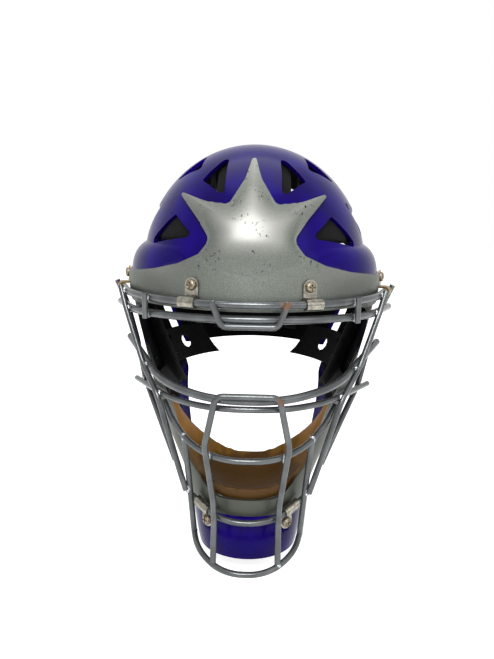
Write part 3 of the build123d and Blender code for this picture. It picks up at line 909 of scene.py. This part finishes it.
@dataclass
class Padding:
    """The foam pads and the leather chin cup, each puffed up by a cloth simulation."""

    pieces: Tuple[SoftPiece, ...] = (
        SoftPiece("brow_pad", Body.HELMET),
        SoftPiece("side_pad_left", Body.HELMET),
        SoftPiece("side_pad_right", Body.HELMET),
        SoftPiece("crown_pad", Body.HELMET, voxel=7 * MM),
        SoftPiece("top_pad_left", Body.HELMET, voxel=7 * MM),
        SoftPiece("top_pad_right", Body.HELMET, voxel=7 * MM),
        SoftPiece("jaw_pad_left", Body.HELMET, voxel=5 * MM, draw_in=1.2 * MM, cap=2.0 * MM),
        SoftPiece("jaw_pad_right", Body.HELMET, voxel=5 * MM, draw_in=1.2 * MM, cap=2.0 * MM),
        SoftPiece("chin_cup", Body.HELMET, 2.5 * MM, 0.4 * MM, 1.4 * MM, smoothing=10, wall=CupWall()),
        SoftPiece("back_pad", Body.BACK, voxel=5 * MM, draw_in=1.2 * MM, cap=2.0 * MM),
    )
    pressure: float = 4.0
    quality: int = 4
    last_frame: int = 20

    def puff(self, things: List[Thing]) -> None:
        """Runs the cloth simulation of all the pads at once and keeps its result.

        Args:
            things: The remeshed pads.
        """
        rest = {thing.name: [vertex.co.copy() for vertex in thing.data.vertices] for thing in things}
        for thing in things:
            cloth = thing.modifiers.new("swell", "CLOTH")
            cloth.settings.use_pressure = True
            cloth.settings.uniform_pressure_force = self.pressure
            cloth.settings.effector_weights.gravity = 0
            cloth.settings.quality = self.quality
            cloth.point_cache.frame_end = self.last_frame
        for number in range(1, self.last_frame + 1):
            bpy.context.scene.frame_set(number)
        seen = bpy.context.evaluated_depsgraph_get()
        swollen = {}
        for thing in things:
            swollen[thing.name] = [vertex.co.copy() for vertex in thing.evaluated_get(seen).data.vertices]
        for thing, piece in zip(things, self.pieces):
            thing.modifiers.clear()
            for vertex, before, after in zip(thing.data.vertices, rest[thing.name], swollen[thing.name]):
                step = after - before
                vertex.co = before + (step if step.length <= piece.cap else step.normalized() * piece.cap)
        bpy.context.scene.frame_set(1)

    def build(self, frame: Dict[str, Any], foam: bpy.types.Material, leather: bpy.types.Material) -> None:
        """Args:
            frame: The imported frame.
            foam: The black foam's material.
            leather: The chin cup's material.
        """
        things = [piece.start(frame) for piece in self.pieces]
        self.puff(things)
        for piece, thing in zip(self.pieces, things):
            rounder = thing.modifiers.new("rounder", "SUBSURF")
            rounder.levels = rounder.render_levels = 1
            settle(thing)
            smooth(thing)
            cup = piece.node == "chin_cup"
            dress(thing, leather if cup else foam)
            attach(thing, piece.body.value)
            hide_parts(piece.node)
            LOG.info("pad %s with %d points", thing.name, len(thing.data.vertices))


@dataclass
class Straps:
    """The elastic straps that bridge the gap from the shell to the back plate, built as they rest: they don't
    follow the plate as it slides.
    """

    nodes: Tuple[str, ...] = ("low_strap_left", "low_strap_right", "high_strap_left", "high_strap_right")
    voxel: float = 0.9 * MM
    held_in_front: float = 16 * MM
    held_behind: float = 12 * MM

    def build(self, frame: Dict[str, Any], cloth: bpy.types.Material) -> None:
        """Makes each strap from its solid, with soft edges.

        Args:
            frame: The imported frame.
            cloth: The webbing's material.
        """
        for name in self.nodes:
            thing = copy_of(frame["nodes"][name], name + "_web")
            remesh(thing, self.voxel)
            relax(thing, 2)
            settle(thing)
            smooth(thing)
            dress(thing, cloth)
            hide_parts(name)
            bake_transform(thing)
            LOG.info("strap %s", name)


@dataclass
class StarRelief:
    """The soft ridges of the star: one skin over it that swells to the hub and along each arm."""

    middle: Place = (0.0, 0.003, 0.060)
    reach: Place = (0.1045, 0.1235, 0.1135)
    columns: int = 141
    rows: int = 130
    half_width: float = 0.070
    low_angle: float = 3.0
    high_angle: float = 63.0
    height: float = 4.4 * MM
    spread: float = 21 * MM
    starts: Span = (0.066, 0.090)
    rim: float = 1.7 * MM
    border: float = 2 * MM
    sunk: float = 0.3 * MM
    over_crest: float = 0.12 * MM
    star_level: float = -1.2 * MM
    probe_from: float = 20 * MM
    probe_reach: float = 30 * MM
    broad_softening: int = 14
    fine_softening: int = 2
    least_room: float = 0.01

    def spots(self) -> Grid:
        """Spreads a grid over the raised ellipsoid.

        Returns:
            Rows by columns of places in metres.
        """
        angle = numpy.radians(numpy.linspace(self.low_angle, self.high_angle, self.rows))[:, None]
        across = numpy.linspace(-self.half_width, self.half_width, self.columns)[None, :] + 0 * angle
        room = numpy.maximum(1 - (across / self.reach[0]) ** 2 - numpy.sin(angle) ** 2, self.least_room)
        depth = self.middle[1] - self.reach[1] * numpy.sqrt(room)
        height = self.middle[2] + self.reach[2] * numpy.sin(angle) + 0 * across
        return numpy.stack([across, depth, height], axis=2)

    @staticmethod
    def soften(field: Grid, times_over: int) -> Grid:
        """Averages every value with its neighbours.

        Args:
            field: The values.
            times_over: How many times it is done.

        Returns:
            The softened values.
        """
        for _ in range(times_over):
            wide = numpy.pad(field, 1, mode="edge")
            field = (wide[:-2, 1:-1] + wide[2:, 1:-1] + wide[1:-1, :-2] + wide[1:-1, 2:] + 2 * field) / 6
        return field

    def probed(self, shell: Thing, spots: Grid, normals: Grid) -> Grid:
        """Measures how high the moulded shell stands at each place of the grid.

        Args:
            shell: The shell's solid.
            spots: The grid's places.
            normals: The way out of the shell at each of them.

        Returns:
            The height over the grid in metres, or -1 where a ray meets nothing.
        """
        tree = BVHTree.FromObject(shell, bpy.context.evaluated_depsgraph_get())
        heights = numpy.full(spots.shape[:2], -1.0)
        for index in numpy.ndindex(heights.shape):
            start, way = Vector(spots[index] + normals[index] * self.probe_from), Vector(-normals[index])
            gap = tree.ray_cast(start, way, self.probe_reach)[3]
            heights[index] = -1.0 if gap is None else self.probe_from - gap
        return heights

    @staticmethod
    def from_border(star: Grid, spots: Grid) -> Grid:
        """Measures how far each place of the grid is from the star's border.

        Args:
            star: True on the star.
            spots: The grid's places.

        Returns:
            The distances in metres.
        """
        beside = star[:-2, 1:-1] | star[2:, 1:-1] | star[1:-1, :-2] | star[1:-1, 2:]
        edge = numpy.zeros_like(star)
        edge[1:-1, 1:-1] = ~star[1:-1, 1:-1] & beside
        border = spots[edge]
        away = [numpy.sqrt(((border - spot) ** 2).sum(axis=1).min()) for spot in spots.reshape(-1, 3)]
        return numpy.array(away).reshape(star.shape)

    def swell(self, star: Grid, heights: Grid, away: Grid, spots: Grid) -> Grid:
        """Works out the skin's height: over the moulded crests inside, and under the surface at its border.

        Args:
            star: True on the star.
            heights: The moulded shell's height.
            away: The distance from the star's border.
            spots: The grid's places.

        Returns:
            The skin's height over the grid in metres.
        """
        share = numpy.clip((away - self.rim) / self.spread, 0, 1)
        start = numpy.clip((spots[:, :, 2] - self.starts[0]) / (self.starts[1] - self.starts[0]), 0, 1)
        broad = self.height * (1 - (1 - share) ** 2) * start * start * (3 - 2 * start)
        over = numpy.where(star, heights + self.over_crest, 0.0) * (away > self.rim)
        broad = self.soften(numpy.maximum(broad, over), self.broad_softening)
        broad = numpy.maximum(broad, self.soften(over, self.fine_softening))
        return broad * numpy.clip((away - self.rim) / self.border, 0, 1) - self.sunk

    def build(self, frame: Dict[str, Any], paint: bpy.types.Material) -> None:
        """Makes the skin as one piece on the helmet.

        Args:
            frame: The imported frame.
            paint: The shell's material.
        """
        spots = self.spots()
        normals = (spots - numpy.array(self.middle)) / numpy.array(self.reach) ** 2
        normals /= numpy.linalg.norm(normals, axis=2, keepdims=True)
        heights = self.probed(frame["nodes"]["shell_front"], spots, normals)
        star = heights > self.star_level
        swell = self.swell(star, heights, self.from_border(star, spots), spots)
        places = spots + normals * swell[:, :, None]
        faces = []
        for row, column in numpy.ndindex(self.rows - 1, self.columns - 1):
            if star[row : row + 2, column : column + 2].all():
                first = row * self.columns + column
                faces.append((first, first + 1, first + 1 + self.columns, first + self.columns))
        mesh = bpy.data.meshes.new("star_relief")
        mesh.from_pydata([tuple(place) for place in places.reshape(-1, 3)], [], faces)
        work = bmesh.new()
        work.from_mesh(mesh)
        loose = [vertex for vertex in work.verts if not vertex.link_faces]
        bmesh.ops.delete(work, geom=loose, context="VERTS")
        work.to_mesh(mesh)
        work.free()
        thing = placed("star_relief", mesh)
        smooth(thing)
        dress(thing, paint)
        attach(thing, Body.HELMET.value)
        LOG.info("star relief: %d faces, highest %.2f mm", len(mesh.polygons), swell.max() / MM)


@dataclass
class WeldBeads:
    """The lumps of weld metal where the cage's rods meet, slightly brighter than the painted rod.

    The places, the radius, the pitch and the wobble are in millimetres. The places are those at +X, and the
    other side mirrors them.
    """

    both_sides: Tuple[Place, ...] = (
        (27.6, -127.8, 40.9), (84.2, -94.6, 40.9), (111.9, -51.3, 40.6), (126.5, 0.1, 40.5),
        (23.2, -127.3, 29.5), (84.5, -92.1, 27.8), (107.1, -57.1, 26.3), (123.6, 1.0, 25.4),
        (88.8, -74.4, -19.6), (110.9, -12.6, -8.6), (75.4, -91.7, -39.8), (97.7, -40.6, -42.1),
        (29.8, -137.5, -76.6), (51.7, -113.6, -68.5), (26.3, -131.3, -169.0), (44.8, -99.0, -157.1),
        (46.1, -102.8, -125.4), (59.8, -103.7, -92.3), (49.3, -106.3, -116.7),
    )
    radius: float = 2.5
    pitch: float = 1.7
    taper: float = 0.18
    ripple_mm: float = 1.1
    ripple_depth: float = 0.10
    ripple_shift: float = 900.0
    sizes: Span = (0.92, 1.06)
    wobble: float = 0.4
    seed: int = 7

    def bead(self, mesh: bmesh.types.BMesh, place: Vector, chance: random.Random) -> None:
        """Adds one bead: three overlapping ripples round the place where two rods touch.

        Args:
            mesh: The mesh that takes the bead.
            place: The middle of the weld, in metres.
            chance: The seeded source of small differences.
        """
        for step in (-1, 0, 1):
            size = self.radius * MM * (1.0 - self.taper * abs(step)) * chance.uniform(*self.sizes)
            lump = bmesh.ops.create_icosphere(mesh, subdivisions=3, radius=size)["verts"]
            aside, ahead = [chance.uniform(-self.wobble, self.wobble) for _ in range(2)]
            shift = Vector((aside, ahead, step * self.pitch)) * MM
            for vertex in lump:
                ripple = noise.noise(vertex.co / (self.ripple_mm * MM) + place * self.ripple_shift)
                vertex.co = vertex.co * (1 + self.ripple_depth * ripple) + place + shift

    def build(self, metal: bpy.types.Material) -> None:
        """Makes all the beads as one piece on the helmet.

        Args:
            metal: The bead's material.
        """
        chance = random.Random(self.seed)
        mesh = bmesh.new()
        for x, y, z in self.both_sides:
            for sign in (-1, 1):
                self.bead(mesh, Vector((sign * x, y, z)) * MM, chance)
        data = bpy.data.meshes.new("weld_beads")
        mesh.to_mesh(data)
        mesh.free()
        thing = placed("weld_beads", data)
        smooth(thing)
        dress(thing, metal)
        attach(thing, Body.HELMET.value)
        LOG.info("weld beads: %d", 2 * len(self.both_sides))


@dataclass
class Hardware:
    """The solids that keep their shape: shell, cage, clips, screws, nuts and studs."""

    clip: PlatedMetal = PlatedMetal("nickel_plated_clip", "#99968b", "#77736a", "#5f4d30", 0.62, 0.22)
    worn_clip: PlatedMetal = PlatedMetal("worn_plated_clip", "#a08a58", "#77643c", "#553a1c", 0.55, 0.34)
    screw: PlatedMetal = PlatedMetal("rusted_zinc_screw", "#9c9484", "#746b58", "#563a20", 0.52, 0.34)

    def build(self, frame: Dict[str, Any]) -> None:
        """Gives every rigid solid its finish, and the star its ridges.

        Args:
            frame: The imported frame.
        """
        shell = PaintedShell().make()
        StarRelief().build(frame, shell)
        rod = PaintedSteel().make()
        clip, worn_clip, screw = self.clip.make(), self.worn_clip.make(), self.screw.make()
        for name, node in frame["nodes"].items():
            if name in ("shell_front", "back_plate"):
                dress(node, shell)
            elif name.endswith("_rod") or "strut" in name or name.startswith("link"):
                dress(node, rod)
            elif "screws" in name:
                dress(node, screw)
            elif name.startswith("temple_clip"):
                dress(node, worn_clip)
            elif "clip" in name or "nuts" in name or name == "strap_studs":
                dress(node, clip)
            else:
                continue
            LOG.info("finish on %s", name)


@dataclass(frozen=True)
class Lamp:
    """One soft square lamp that looks at the head: its place and side in metres, and its power in watts."""

    name: str
    place: Place
    size: float
    power: float

    def hang(self) -> None:
        """Puts the lamp in the scene."""
        light = bpy.data.lights.new(self.name, "AREA")
        light.size = self.size
        light.energy = self.power
        thing = bpy.data.objects.new(self.name, light)
        thing.location = self.place
        thing.rotation_euler = (-Vector(self.place)).to_track_quat("-Z", "Y").to_euler()
        bpy.context.scene.collection.objects.link(thing)


@dataclass
class Studio:
    """The pale floor, the soft lamps and the camera."""

    floor_z: float = -0.19
    floor_half: float = 6.0
    paper: str = "#f4f4f4"
    paper_glow: float = 0.75
    world_light: float = 0.45
    distance: float = 0.640
    elevation: float = 10.0
    yaw: float = 1.8
    roll: float = 1.0
    focal_px: float = 670.0
    image_height_px: float = 659.0
    sensor_mm: float = 36.0
    aim: Place = (-0.0059, 0.0, 0.0)
    lamps: Tuple[Lamp, ...] = (
        Lamp("key", (-0.10, -1.2, 0.95), 0.55, 17.5),
        Lamp("fill", (1.0, -0.9, 0.7), 0.9, 4.0),
        Lamp("top", (0.0, 0.3, 1.5), 1.2, 11.0),
    )

    @staticmethod
    def seen(tree: Tree) -> Socket:
        """Tells whether a ray comes straight from the camera or from a shiny surface.

        Args:
            tree: The floor's or the world's node tree.

        Returns:
            1 for such a ray and 0 for any other.
        """
        path = add(tree, "LightPath", {})
        return reckon(tree, "MAXIMUM", path.outputs["Is Camera Ray"], path.outputs["Is Glossy Ray"])

    def floor(self) -> None:
        """Lays a pale sheet that reads as white to the camera and keeps a soft shadow."""
        mesh = bpy.data.meshes.new("studio_floor")
        half, z = self.floor_half, self.floor_z
        corners = [(-half, -half, z), (half, -half, z), (half, half, z), (-half, half, z)]
        mesh.from_pydata(corners, [], [(0, 1, 2, 3)])
        thing = placed("studio_floor", mesh)
        material, tree = new_material("matt_white_paper")
        paper = add(tree, "BsdfDiffuse", {"Color": linear(self.paper)}).outputs[0]
        white = add(tree, "Emission", {"Color": linear("#ffffff"), "Strength": self.paper_glow}).outputs[0]
        glowing = add(tree, "AddShader", {0: paper, 1: white}).outputs[0]
        show(tree, add(tree, "MixShader", {0: self.seen(tree), 1: paper, 2: glowing}).outputs[0])
        thing.data.materials.append(material)

    def world(self) -> None:
        """Sets a pale surround that the camera sees as white."""
        world = bpy.data.worlds.new("studio")
        bpy.context.scene.world = world
        world.use_nodes = True
        tree = world.node_tree
        tree.nodes.clear()
        pale = linear("#ffffff")
        soft = add(tree, "Background", {"Color": pale, "Strength": self.world_light}).outputs[0]
        white = add(tree, "Background", {"Color": pale, "Strength": 1.0}).outputs[0]
        mixed = add(tree, "MixShader", {0: self.seen(tree), 1: soft, 2: white}).outputs[0]
        add(tree, "OutputWorld", {"Surface": mixed})

    def camera(self) -> None:
        """Sets the camera at the photograph's distance, height and framing."""
        turn, lift = math.radians(self.yaw), math.radians(self.elevation)
        data = bpy.data.cameras.new("camera")
        data.sensor_fit = "VERTICAL"
        data.sensor_height = self.sensor_mm
        data.lens = self.sensor_mm * self.focal_px / self.image_height_px
        data.clip_start = 0.01
        thing = bpy.data.objects.new("camera", data)
        away = Vector((math.sin(turn) * math.cos(lift), -math.cos(turn) * math.cos(lift), math.sin(lift)))
        look = (-away).to_track_quat("-Z", "Y").to_matrix().to_4x4()
        stand = Matrix.Translation(Vector(self.aim) + away * self.distance)
        thing.matrix_world = stand @ look @ Matrix.Rotation(math.radians(self.roll), 4, "Z")
        bpy.context.scene.collection.objects.link(thing)
        bpy.context.scene.camera = thing

    def build(self) -> None:
        """Puts up the whole studio."""
        self.floor()
        self.world()
        for lamp in self.lamps:
            lamp.hang()
        bpy.context.scene.view_settings.view_transform = "Standard"
        self.camera()


def main() -> None:
    """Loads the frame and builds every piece."""
    logging.basicConfig(level=logging.INFO)
    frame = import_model()
    Studio().build()
    Hardware().build(frame)
    foam = WovenCloth("brushed_polyester_over_foam", "#0d0d0f", "#040405").make()
    webbing = WovenCloth("woven_elastic_webbing", "#1a1a1c", "#070708", 1.4, True).make()
    Padding().build(frame, foam, TanLeather().make())
    Straps().build(frame, webbing)
    WeldBeads().build(PlatedMetal("bright_weld_bead", "#b9bbbe", "#8f9194", "#77705f", 0.7, 0.3).make())


if __name__ == "__main__":
    main()
